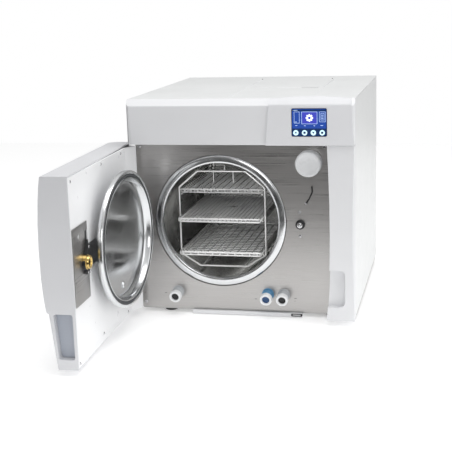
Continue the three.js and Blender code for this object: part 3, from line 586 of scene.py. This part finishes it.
def gear(x, z, radius, teeth=8):
    """The outline of a toothed wheel, and the hole in its middle."""
    outline = []
    for i in range(teeth):
        middle = 2 * math.pi * i / teeth
        for offset, reach in ((-0.30, 0.74), (-0.20, 1), (0.20, 1), (0.30, 0.74)):
            a, r = middle + offset, radius * reach
            outline.append((x + r * math.cos(a), z + r * math.sin(a)))
    return outline, [circle(x, z, radius * 0.36, 24)]


def make_screen():
    """What the display shows: three windows with plain signs, and four round keys along the foot."""
    across = (167.5, 236)
    on_screen("screen_field", [(fillet(rectangle(across, (191, 245)), 3), [])], "screen_blue", 0)
    on_screen("screen_foot", [(fillet(rectangle(across, (191, 206)), [3, 3, 0, 0]), [])], "screen_navy", 1)
    on_screen("screen_status", [(rectangle(across, (240.6, 243.8)), [])], "screen_navy", 1)
    on_screen("screen_window", [(rectangle((186.5, 218), (215, 239.5)), [])], "screen_violet", 1)
    frames = [frame_of((186.5, 218), (215, 239.5), 0.5, 0.7), frame_of((171.5, 182.5), (216.5, 239.5), 0.5, 0.6),
              frame_of((222, 234.5), (219, 239.5), 1, 0.6), frame_of((225, 232), (222.5, 236.5), 0.5, 0.6)]
    on_screen("screen_frames", frames, "screen_pale", 2)
    dashes = [(174, 211.5, 4), (191.5, 211, 3.2), (210.5, 211, 3), (224.5, 211.5, 5), (173, 218.5, 4),
              (226.5, 225, 3.5), (226.5, 228.5, 3.5), (226.5, 232, 3.5),
              (169.5, 241.7, 1.5), (172, 241.7, 3.5), (176.5, 241.7, 2)]
    marks = [(rectangle((x, x + length), (z, z + 1.1)), []) for x, z, length in dashes]
    on_screen("screen_marks", marks, "screen_pale", 2)
    on_screen("screen_gear", [gear(202.3, 227.2, 7.6)], "screen_white", 2)
    keys, key_z = (174.8, 192.4, 210, 227.6), 197.6
    on_screen("screen_keys", [(circle(x, key_z, 5.4, 32), []) for x in keys], "screen_cyan", 2)
    up = [(keys[0] - 2.6, 196.4), (keys[0] + 2.6, 196.4), (keys[0], 200.2)]
    stop = rectangle((190.2, 194.6), (195.6, 199.8))
    down = [(keys[2] - 2.6, 199.4), (keys[2] + 2.6, 199.4), (keys[2], 195.4)]
    dot = circle(keys[3], key_z, 2.5, 16)
    on_screen("screen_glyphs", [(shape, []) for shape in (up, stop, down, dot)], "screen_navy", 3)


def make_column():
    """The right front column, with its bowed front and inner edge and the recess to pull the door by."""
    low, high = -193.6, 170.6
    middle, half = (low + high) / 2, (high - low) / 2
    heights = [low + 2 * half * i / 16 for i in range(17)]
    bow = [(FRONT - 4 * (1 - ((z - middle) / half) ** 2), z) for z in heights]
    inner_edge = [(236, high), (238.5, 120), (240.6, 50), (241, -10), (240, -70), (237.6, -130), (235, -170)]
    shape = combine("INTERSECT", prism("x", [(-0.4, low), *bow, (-0.4, high)], 232, RIGHT),
                    prism("z", plan((232, RIGHT), (-64, 4), [4, 12, 0, 0]), low - 5, high + 5),
                    prism("y", [(233, low), (RIGHT + 5, low), (RIGHT + 5, high), *inner_edge], -80, 10))
    grip = prism("y", fillet(rectangle((200, 271.5), (-165, -86)), [0, 16, 10, 0]), -80, -44.5)
    inside = block((242, RIGHT - 4), (-40, 10), (low + 4, high - 4))
    behind = block((RIGHT - 3, RIGHT + 1), (-38, 4), (low - 1, high + 1))
    add("column_moulding", combine("DIFFERENCE", shape, grip, inside, behind), "pale_grey_plastic", "housing",
        ["right_column"], bevel=1.2)
    # A thin black strip on the column's top, just under the display module: painted shade for the shadow line between
    # the two.
    add("column_gap_painted_shade", block((238, RIGHT - 1.5), (-58, -4), (high, high + 0.7)), "black_plastic", "housing")


def make_top():
    opening = rectangle((25.6, 198.4), (183.6, 398.4))
    add("top_sheet", prism("z", rectangle((LEFT, RIGHT), (-37.6, 481.6)), 261.6, TOP, [opening]),
        "white_paint", "housing", ["top_cover"], bevel=1.3)
    outline = [(26, 184), (150, 184), (150, 191), (188, 191), (188, 184), (198, 184), (198, 398), (26, 398)]
    add("tank_lid_sheet", prism("z", fillet(outline, [2, 1, 2, 2, 1, 2, 4, 4]), 261.8, TOP + 0.4),
        "white_paint", "tank_lid", ["tank_lid"], bevel=0.8)


def make_top_details():
    """The two raised seams that run back along the top, and the ends of the tank lid's hinge pins."""
    seams = [((31.9, -34), (21.9, 405)), ((207.6, -34), (193.5, 385))]
    wires = [rod([(*front, TOP), (*back, TOP)], 0.55) for front, back in seams]
    add("top_seams", gather(wires), "pale_grey_plastic", "housing")
    sunk = TOP - 0.6
    pins = [rod([(x, start, sunk), (x, end, sunk)], 1.6) for x, start, end in ((21.9, 403, 409), (193, 400, 407))]
    add("top_pins", gather(pins), "black_plastic", "housing")


def make_plate_details():
    """Small marks beside the ports, and the bent feeler that senses the shut door."""
    feeler = fillet([(197, 78), (198, 66), (192, 52), (185, 42)], [0, 6, 8, 0], 6)
    add("door_feeler", rod([(x, -2.2, z) for x, z in feeler], 1.5), "black_plastic", "housing")
    tip = [(0, -6.4), (1.4, -6.2), (2.6, -5), (2.8, -3.4), (2.8, -0.1), (0, -0.1)]
    add("door_feeler_tip", turned(tip, 24, (184.5, 41)), "spindle_steel", "housing")
    marks = [(-129, -163, 5), (71, -170, 5), (157, -166, 5), (157, -172, 2)]
    dashes = [prism("y", rectangle((x, x + length), (z, z + 0.9)), -0.12, 0.02) for x, z, length in marks]
    add("plate_marks", gather(dashes), "black_plastic", "housing")


def make_plate():
    holes = [circle(0, 0, 142.9, ROUND), circle(*LOCK, 8.2), circle(*FILTER, 13.5),
             *[circle(x, PORTS_Z, 8, 32) for x in PORTS.values()]]
    add("front_sheet", prism("y", rectangle(PLATE_X, PLATE_Z), 0, 1.5, holes),
        "brushed_stainless", "housing", ["front_plate"])


def make_chamber():
    ring = [(125, 8), (125, 1), (125.8, -0.5), (127.6, -1.2), (131, -1.3), (135, -1.1), (138.5, -0.5), (141, 0.6),
            (142.2, 2), (142.5, 3.6), (142.5, 8)]
    add("chamber_rim", turned(ring, 128), "lid_steel", "housing", ["chamber_ring"])
    wall = [(125, 8.3), (125, 353), (123, 357.5), (117, 359), (0, 359), (0, 361.5), (119.5, 361.5), (127.5, 357),
            (127.5, 8.3)]
    add("chamber_liner", turned(wall, 128), "chamber_steel", "housing", ["chamber_vessel"])


# ---------------------------------------------------------------- fittings on the front plate

def make_filter():
    cap = [(0, -26.2), (17.5, -26.2), (19.5, -27.2), (22, -28.2), (24.6, -28), (26.2, -26.6), (26.8, -24.4),
           (26.8, -9), (26, -8.2), (26, -6.8), (26.8, -6), (26.8, -2.6), (25.8, -1.6), (0, -1.6)]
    add("filter_cap_moulding", turned(cap, centre=FILTER), "port_white", "filter_cap", ["filter_cap"])


def make_lock_socket():
    bush = [(6.3, -6), (8.4, -6), (9.6, -5.2), (10, -4), (10, -0.4), (6.3, -0.4)]
    add("lock_bush_ring", turned(bush, SMALL_ROUND, LOCK), "black_plastic", "housing", ["lock_bush"])
    nose = [(0, -3), (2.6, -3), (2.6, -12), (4.2, -12), (5.4, -11.4), (6, -10.2), (6, 56), (0, 56)]
    add("lock_spindle_bar", turned(nose, SMALL_ROUND, LOCK), "spindle_steel", "lock_spindle", ["lock_spindle"])


def make_ports():
    """Quick connectors, each tilted a little downwards: a flange and barrel, and a white collar that pushes in."""
    tilt = Matrix.Rotation(math.radians(9), 4, "X")
    barrel = [(0, -6), (9.6, -6), (9.6, -17), (10.9, -17), (11.4, -16.4), (11.4, -12.4), (10.5, -11.8),
              (10.5, -10.4), (11.4, -9.8), (11.4, -2.6), (0, -2.6)]
    flange = [(0, -2), (12, -2), (13, -1.2), (13, -0.3), (0, -0.3)]
    collar = [(8, -30.4), (9, -31.4), (11, -31.4), (12.3, -30.8), (12.8, -29.6), (12.8, -20.4), (12, -19.4),
              (9.3, -19.4), (9.3, -10), (8, -10)]
    # The valve disc in each barrel is a real part, but it sits right behind the mouth and its dark face, black or a
    # darker copy of the port blue, is painted shade for the deep bore.
    valve = [(0, -27), (7.9, -27), (7.9, -6.2), (0, -6.2)]
    for name, x in PORTS.items():
        place = HOME @ Matrix.Translation((x, 0, PORTS_Z)) @ tilt
        slot, bore = ("port_blue", "bore_blue") if name == "blue" else ("port_grey", "black_plastic")
        add(f"port_barrel_{name}", turned(barrel, SMALL_ROUND), slot, "housing", [f"port_body_{name}"], place)
        add(f"port_flange_{name}", turned(flange, SMALL_ROUND, (x, PORTS_Z)), slot, "housing")
        add(f"port_ring_{name}", turned(collar, SMALL_ROUND), "port_white", f"port_collar_{name}",
            [f"port_collar_{name}"], place)
        add(f"port_valve_{name}", turned(valve, SMALL_ROUND), bore, "housing", place=place)


def screw(x, y, z, radius=3.4, height=1.6, out=-1):
    """A pan-head screw with a crossed slot, standing out from y to the front (-1) or the back (1)."""
    dome = [(0, y + out * height), (radius * 0.7, y + out * height * 0.9), (radius, y + out * height * 0.3),
            (radius, y), (0, y)]
    head = turned(dome, 24, (x, z))
    deep, clear = y + out * height * 0.45, y + out * 3
    slots = [block((x - a, x + a), (min(deep, clear), max(deep, clear)), (z - b, z + b))
             for a, b in ((radius * 0.6, 0.35), (0.35, radius * 0.6))]
    return combine("DIFFERENCE", head, *slots)


def make_plate_screws():
    places = [(-172, 160), (-172, -184), (224, 160), (170.5, 22), (172, -29)]
    add("plate_screw_heads", gather([screw(x, -0.1, z) for x, z in places]), "spindle_steel", "housing")


# ---------------------------------------------------------------- rack and trays

def bar(a, b, radius, sides=8):
    return rod([a, b], radius, sides=sides)


def loop(outline, y=None, z=None, radius=1.5, corner=6):
    """A closed wire in the plane at y or at z."""
    points = fillet(outline, corner, 5)
    if y is not None:
        return rod([(a, y, b) for a, b in points], radius, closed=True)
    return rod([(a, b, z) for a, b in points], radius, closed=True)


def make_rack():
    right = [(52, -104), (93.5, -78), (93.5, 69), (52, 104)]
    outline = right + [(-x, z) for x, z in reversed(right)]
    wires = [loop(outline, y=y, radius=2) for y in (22, 328)]
    for z in (TRAY_TOP, TRAY_MIDDLE, TRAY_BOTTOM):
        for side in (-1, 1):
            wires.append(bar((side * 88, 20, z - 12.6), (side * 88, 330, z - 12.6), 1.6))
            wires.append(bar((side * 91, 22, z - 4), (side * 91, 328, z - 4), 1.3))
    for x in (-47, 47):
        wires.append(bar((x, 20, 104), (x, 330, 104), 1.8))
        wires.append(bar((x, 20, -104), (x, 330, -104), 1.8))
    for x in (-17, 26):
        wires.append(bar((x, 22, 104), (x, 22, 80), 1.3))
    wires.append(bar((7, 24, 104), (7, 24, 117), 1))
    add("rack_wires", gather(wires), "wire_steel", "rack", ["rack"])


def hung(axis, at, start, end, rim, floor, wire):
    """A wire that drops from the rim on one side, crosses the floor and climbs the other side."""
    path = [(start, rim), (start, floor + 2), (start + 3, floor), (end - 3, floor), (end, floor + 2), (end, rim)]
    return rod([(at, a, z) if axis == "y" else (a, at, z) for a, z in path], wire, sides=6)


def tray(name, z, front, wires_along, wires_across, wire):
    """A wire basket: two rims, posts between them, and a floor of crossed wires."""
    start, end = front + 1.6, front + TRAY_LENGTH - 1.6
    floor = z - TRAY_DEPTH + wire
    outline = rectangle((-TRAY_HALF, TRAY_HALF), (start, end))
    made = [loop(outline, z=z - 1.6, radius=1.6, corner=8), loop(outline, z=floor, radius=1.3, corner=8)]
    for i in range(wires_along):
        x = -TRAY_HALF + 2 * TRAY_HALF * (i + 0.5) / wires_along
        made.append(hung("y", x, start, end, z - 2, floor, wire))
    for i in range(wires_across):
        y = start + (end - start) * (i + 0.5) / wires_across
        made.append(hung("x", y, -TRAY_HALF, TRAY_HALF, z - 2, floor - wire, wire))
    add(f"{name}_wires", gather(made), "wire_steel", name, [name])


def make_trays():
    tray("tray_top", TRAY_TOP, 16, 12, 20, 0.9)
    tray("tray_middle", TRAY_MIDDLE, -14, 20, 70, 0.9)
    tray("tray_bottom", TRAY_BOTTOM, -14, 11, 19, 1.3)


# ---------------------------------------------------------------- under the front edge

def make_base():
    """The dust filter that slides out under the front edge, and the four feet."""
    frame_shape = prism("z", fillet(rectangle((-66, 174), (-6, 250)), 4), -203.5, -198.4,
                        [fillet(rectangle((-54, 162), (20, 238)), 4)])
    add("dust_filter_frame", frame_shape, "pale_grey_plastic", "dust_filter", ["dust_filter"], bevel=1)
    lip = block((-66, 174), (-9, -1.4), (-203.5, -196), 2)
    add("dust_filter_lip", lip, "pale_grey_plastic", "dust_filter", bevel=1)
    weave = [bar((x, 18, -202), (x, 240, -202), 0.5, 6) for x in range(-52, 162, 6)]
    weave += [bar((-56, y, -202), (164, y, -202), 0.5, 6) for y in range(22, 240, 6)]
    add("dust_filter_mesh", gather(weave), "black_plastic", "dust_filter")
    latch = prism("y", fillet(rectangle((151, 175), (-202.8, -196.6)), 2.5), -10.4, -9.2,
                  [fillet(rectangle((154, 171.5), (-201.2, -198.2)), 1.2)])
    add("dust_filter_latch", latch, "black_plastic", "dust_filter")
    foot = [(0, -206), (12.6, -206), (14, -205.2), (16, -199.6), (16, -198.3), (0, -198.3)]
    for side, x in (("left", -122), ("right", 236)):
        for end, y in (("front", 26), ("rear", 440)):
            bm = turned(foot, SMALL_ROUND)
            bmesh.ops.rotate(bm, verts=bm.verts, cent=(0, 0, 0), matrix=Matrix.Rotation(math.pi / 2, 3, "X"))
            bmesh.ops.translate(bm, verts=bm.verts, vec=(x, y, 0))
            add(f"rubber_foot_{end}_{side}", bm, "foot_rubber", "housing", [f"foot_{end}_{side}"])


# ---------------------------------------------------------------- door

def door_depth(z):
    """How far the door's outer face stands before its datum at a height: a gentle bulge, a step, a taper."""
    points = [(DOOR_TOP, 84.5), (150, 87.5), (124, 90.4), (80, 93.6), (33, 95), (-20, 94.2), (-61, 91.6),
              (-83, 88.6), (-84.5, 88), (-87, 83.8), (-127, 79.6), (DOOR_FOOT, 72.6)]
    for (z1, v1), (z0, v0) in zip(points, points[1:]):
        if z >= z0:
            t = (z - z0) / (z1 - z0)
            return v0 + (v1 - v0) * max(0, min(1, t))
    return points[-1][1]


def door_section(z, inset=0.0):
    """The door's outline from above at a height, from the free edge round to the hinge side."""
    deep = door_depth(z) - inset
    hinge = -38 + inset
    turn = 20 - inset * 0.5
    corner = arc((hinge + turn, -(deep - turn)), turn, 270, 180, 8)
    return [(FREE - inset, -33.3 + inset * 8), (FREE - inset, -deep), *corner, (hinge, -39 + inset * 12)]


def loft(heights, section):
    """A closed solid through one section at each height."""
    bm = bmesh.new()
    rings = [[bm.verts.new((u, v, z)) for u, v in section(z)] for z in heights]
    for low, high in zip(rings, rings[1:]):
        for i in range(len(low)):
            j = (i + 1) % len(low)
            bm.faces.new([low[i], low[j], high[j], high[i]])
    bm.faces.new(rings[0])
    bm.faces.new(rings[-1])
    bmesh.ops.recalc_face_normals(bm, faces=bm.faces)
    return bm


def make_door_shell():
    """The hollow moulded door, open behind, with the pocket in its free edge to pull it by."""
    heights = [DOOR_FOOT, -160, -127, -100, -87, -84.5, -83, -61, -40, -20, 6, 33, 58, 80, 102, 124, 150, DOOR_TOP]
    solid = loft(heights, door_section)
    inside = [max(DOOR_FOOT + 3, min(DOOR_TOP - 3, z)) for z in heights]
    cavity = loft(inside, lambda z: door_section(z, 3))
    behind = [(FREE + 1, INNER_FACE), (30, INNER_FACE), (1, -17), (-4, -17), (-10, -30), (-39, -39), (-39, 20),
              (FREE + 1, 20)]
    back = prism("z", behind, DOOR_FOOT - 1, DOOR_TOP + 1)
    pocket = prism("x", fillet([(-69.5, -174), (-39, -174), (-39, -87), (-76, -87)], 5), FREE - 16, FREE + 5)
    liner = prism("x", fillet([(-72.5, -177), (-36, -177), (-36, -84), (-79, -84)], 6), FREE - 19, FREE - 1)
    shell = combine("DIFFERENCE", solid, combine("DIFFERENCE", cavity, liner), pocket, back)
    add("door_moulding", shell, "door_plastic", "door", ["door_shell"], DOOR, bevel=1.6)
    # A darker, bluish sheet on the floor of the pull pocket: painted shade for the recess, a darker copy of the door's
    # plastic.
    floor = fillet([(-69.2, -173.6), (-39.4, -173.6), (-39.4, -87.4), (-75.6, -87.4)], 5)
    pocket_shade_sheet = prism("x", floor, FREE - 15.9, FREE - 15.2)
    add("door_pocket_painted_shade", pocket_shade_sheet, "pocket_plastic", "door", place=DOOR)


def make_door_cover():
    """The white sheet over the door's inner face, with its bevel down to the hinge."""
    edge = FREE - 3.3
    outline = [(edge, INNER_FACE), (30, INNER_FACE), (1, -17), (-4, -17), (-10, -30), (-34.7, -38), (-34.7, -41),
               (-8.5, -33), (-1, -20), (29, -36), (edge, -36)]
    radii = [0, 8, 2, 1.5, 2, 0, 0, 2, 2, 8, 0]
    sheet = prism("z", fillet(outline, radii, 5), DOOR_FOOT + 3.3, DOOR_TOP - 3.3)
    slot = block((-26, 316.3), (-60, 10), (-24, 24))
    hub = turned([(0, -60), (31, -60), (31, 10), (0, 10)], SMALL_ROUND, (PIVOT_U, 0))
    end = block((296, 316.3), (-60, 10), (-27.3, 52.3))
    add("door_cover_sheet", combine("DIFFERENCE", sheet, slot, hub, end), "door_cover_paint", "door",
        ["door_inner_cover"], DOOR, bevel=0.5)


def make_lid():
    """A shallow pressed dish with a flat rim, and the gasket in the groove round it, measured from its back."""
    profile = [(0, 3), (60, 2.8), (100, 3), (110, 3.6), (115.5, 6), (118.6, 10), (120.2, 14.5), (121, 17.2),
               (122, 18), (124, 18), (124.5, 17.4), (124.5, 11.3), (130.5, 11.3), (130.5, 17.4), (131, 18),
               (134.8, 18), (136.6, 17.2), (137.5, 15.6), (137.5, 9), (136.4, 7.8), (124, 0.6), (121, 0), (0, 0)]
    add("lid_pressing", turned(profile, 144), "lid_steel", "lid", ["lid"], LID)
    seal = [(124.8, 11.6), (130.2, 11.6), (130.2, 17.2), (129.2, 18.3), (127.5, 18.5), (125.8, 18.3),
            (124.8, 17.2)]
    add("lid_gasket", turned(seal, 144), "seal_rubber", "lid", ["lid_seal"], LID)
    boss = [(0, 2), (7, 2), (7, 4.6), (6, 5.6), (3, 6), (0, 6)]
    add("lid_nub", turned(boss, 32, (7, -94)), "lid_steel", "lid", place=LID)


def make_lock():
    """The lock plate and nut, the cast yoke from the hinge to the lock, and the stud that the lid tilts on."""
    shape = [(303, -76), (386, -76), (386, 70), (303, 70), (303, 54), (318, 54), (318, -29), (303, -29)]
    plate = prism("y", fillet(shape, [2, 2, 2, 2, 1, 1, 1, 1]), -32.7, -31.2, [circle(352, 50, 5, 32)])
    add("lock_plate_sheet", plate, "brushed_stainless", "door", ["lock_plate"], DOOR)
    nut = [(6.6, -30.9), (14, -30.9), (14, -24.5), (12.8, -23.8), (12.8, -20), (12, -18.7), (9.4, -18.5),
           (8.4, -19.4), (6.6, -21.4)]
    add("lock_nut_turned", turned(nut, SMALL_ROUND, (NUT_U, -3)), "brass", "door", ["lock_nut"], DOOR)
    pin_u, pin_v = -DATUM.x, -DATUM.y
    beam = block((4, 316), (-46, -26.3), (-22, 22), 3)
    knuckle = prism("z", circle(pin_u, pin_v, KNUCKLE, 40), -19.7, 19.7)
    neck = block((-13.5, 14), (-46, pin_v), (-19.7, 19.7))
    hub = turned([(0, -46), (30, -46), (30, -28), (28, -26.3), (0, -26.3)], SMALL_ROUND, (PIVOT_U, 0))
    end = prism("x", fillet([(-37, -27), (-8, -27), (-8, 52), (-20, 52), (-37, 46)], [3, 5, 6, 8, 5]), 297, 316)
    edge = [(310, -27), (328, -27), (333, -22), (334, -12), (331, 8), (327, 17), (322, 26), (317, 36), (310, 42)]
    pad = prism("y", edge, -30.8, -25, [circle(NUT_U, -4, 14.4)])
    rise = fillet([(310, -20), (318, -20), (318, 10), (322, 22), (316, 40), (310, 40)], 3)
    step = prism("y", rise, -26, -14)
    pin_hole = prism("z", circle(pin_u, pin_v, PIN_HOLE, 32), -60, 60)
    casting = combine("DIFFERENCE", combine("UNION", beam, knuckle, neck, hub, end, pad, step), pin_hole)
    add("yoke_casting", casting, "black_casting", "door", ["yoke"], DOOR, bevel=0.9)
    stud = [(0, -26), (16, -26), (16, -18), (15.4, -16.8), (6, -12.2), (4.8, -11.5), (3, -11.2), (0, -11.2)]
    add("pivot_stud", turned(stud, SMALL_ROUND, (PIVOT_U, 0)), "bronze", "door", ["lid_pivot"], DOOR)
    bolts = [screw(u, -25, z, 2.6, 1.6, 1) for u, z in ((316, -22), (327, -23), (318, 24))]
    add("yoke_bolts", gather(bolts), "spindle_steel", "door", place=DOOR)


def make_hinge():
    """The bracket behind the front plate's left edge, with two eyes round the pin."""
    left, right, plate_side = -173, -152, -0.3
    leaf = block((left, right), (-3.2, plate_side), (-KNUCKLE_OUTER, KNUCKLE_OUTER), 1)
    spans = ((KNUCKLE_INNER, KNUCKLE_OUTER), (-KNUCKLE_OUTER, -KNUCKLE_INNER))
    x, y = HINGE
    arm = [(left, y), (left, plate_side), (right, plate_side), (right, y)]
    arms = [prism("z", arm, low, high) for low, high in spans]
    eyes = [prism("z", circle(x, y, KNUCKLE, 40), low, high) for low, high in spans]
    bore = prism("z", circle(x, y, PIN_HOLE, 32), -60, 60)
    bracket = combine("DIFFERENCE", combine("UNION", leaf, *arms, *eyes), bore)
    add("hinge_casting", bracket, "hinge_steel", "housing", ["hinge_bracket"], bevel=0.6)
    pin = prism("z", circle(x, y, PIN, 40), -48, 48)
    add("hinge_rod", pin, "spindle_steel", "housing", ["hinge_pin"], bevel=0.8)


def make_door_screws():
    places = [(60, 157), (194, 157.5), (376, 156), (381, 37), (380, -183), (232, -174), (60, -183)]
    heads = [screw(u, INNER_FACE, z, 3.2, 1.4, 1) for u, z in places]
    add("door_screw_heads", gather(heads), "spindle_steel", "door", place=DOOR)


make_camera()
materials = make_materials()
make_studio()
make_hood()
make_display()
make_column()
make_top()
make_top_details()
make_plate()
make_plate_details()
make_screen()
make_hinge()
make_chamber()
make_filter()
make_lock_socket()
make_ports()
make_plate_screws()
make_rack()
make_trays()
make_base()
make_door_shell()
make_door_cover()
make_lid()
make_lock()
make_door_screws()
